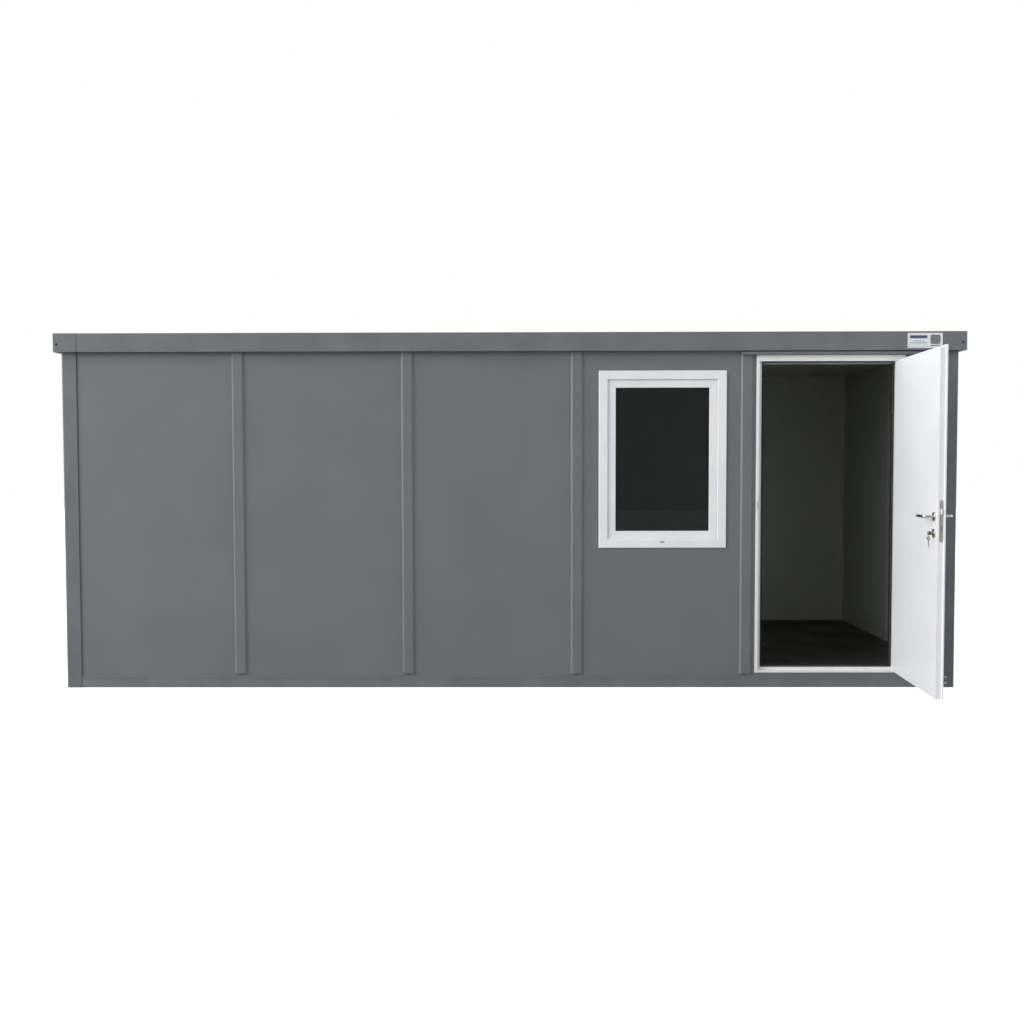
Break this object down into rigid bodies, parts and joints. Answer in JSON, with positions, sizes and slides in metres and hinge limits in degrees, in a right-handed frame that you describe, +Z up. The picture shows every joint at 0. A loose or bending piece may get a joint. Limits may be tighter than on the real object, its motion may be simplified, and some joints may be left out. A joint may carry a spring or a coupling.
{
  "type": "portable site cabin",
  "caption": "Flat-roofed site cabin with a steel frame, grey sandwich wall panels, a fixed white window and an outward-opening steel door.",
  "frame": {"origin": "middle of the footprint between the corner posts, at ground level", "axes": "+X to the right along the long front wall, +Y to the back wall, +Z up; the door and window are on the -Y side"},
  "size_m": [6.131, 3.4382, 2.407],
  "materials": {
    "wall_steel": "satin grey coil-coated sandwich panel",
    "frame_steel": "semi-gloss grey paint",
    "roof_steel": "semi-gloss grey paint",
    "dark_steel": "dark grey paint",
    "floor_vinyl": "dark vinyl sheet",
    "inner_lining": "satin light grey lining",
    "roof_zinc": "zinc-grey trapezoidal sheet",
    "window_pvc": "smooth white PVC",
    "glazing": "double glazing over a dark room",
    "door_frame_paint": "white powder coat",
    "door_paint": "white powder coat",
    "lock_brass": "worn brass",
    "lock_steel": "brushed stainless steel",
    "plate": "plain pale enamelled plate"
  },
  "bodies": {
    "cabin": {"base_front_rail": "frame_steel", "base_back_rail": "frame_steel", "base_side_rails": "frame_steel", "base_corners": "frame_steel", "floor_joists": "dark_steel", "floor_deck": "floor_vinyl", "corner_posts": "frame_steel", "roof_front_rail": "roof_steel", "roof_back_rail": "roof_steel", "roof_side_rails": "roof_steel", "roof_corners": "roof_steel", "ceiling_panel": "inner_lining", "roof_sheet": "roof_zinc", "front_panel_1": "wall_steel", "front_panel_2": "wall_steel", "front_panel_3": "wall_steel", "window_panel": "wall_steel", "door_panel_left": "wall_steel", "door_panel_right": "wall_steel", "door_panel_top": "wall_steel", "door_threshold": "dark_steel", "back_panels": "wall_steel", "left_panels": "wall_steel", "right_panels": "wall_steel", "front_strips": "wall_steel", "back_strips": "wall_steel", "side_strips": "wall_steel", "door_drip_rail": "wall_steel", "inner_trims": "inner_lining", "window_frame": "window_pvc", "window_sash": "window_pvc", "window_glass": "glazing", "door_jamb_left": "door_frame_paint", "door_jamb_right": "door_frame_paint", "door_head": "door_frame_paint", "door_sill": "door_frame_paint", "hinges_frame": "lock_steel", "name_plate": "plate"},
    "door": {"door_leaf": "door_paint", "hinges_leaf": "lock_steel", "lock_faceplate": "lock_steel", "lock_roses": "lock_steel", "lock_cylinder": "lock_brass", "keys": "lock_brass"},
    "handle": {"door_handle": "lock_steel"},
    "latch": {"latch_bolt": "lock_steel"}
  },
  "joints": [
    {"name": "door_hinge", "type": "hinge", "parent": "cabin", "child": "door", "pos_m": [2.6335, -1.2315, 1.17], "axis": [0, 0, 1], "range_deg": [-87, 23]},
    {"name": "handle_turn", "type": "hinge", "parent": "door", "child": "handle", "pos_m": [2.58778, -2.1038, 1.207], "axis": [-0.9986, 0.0523, 0], "range_deg": [0, 35], "stiffness_Nm_per_rad": 1.5, "springref_deg": -28.65},
    {"name": "latch_slide", "type": "slide", "parent": "door", "child": "latch", "axis": [0.0523, 0.9986, 0], "range_m": [0, 0.0105]}
  ],
  "couplings": [
    {"joint": "latch_slide", "follows": "handle_turn", "m_per_rad": 0.017}
  ]
}
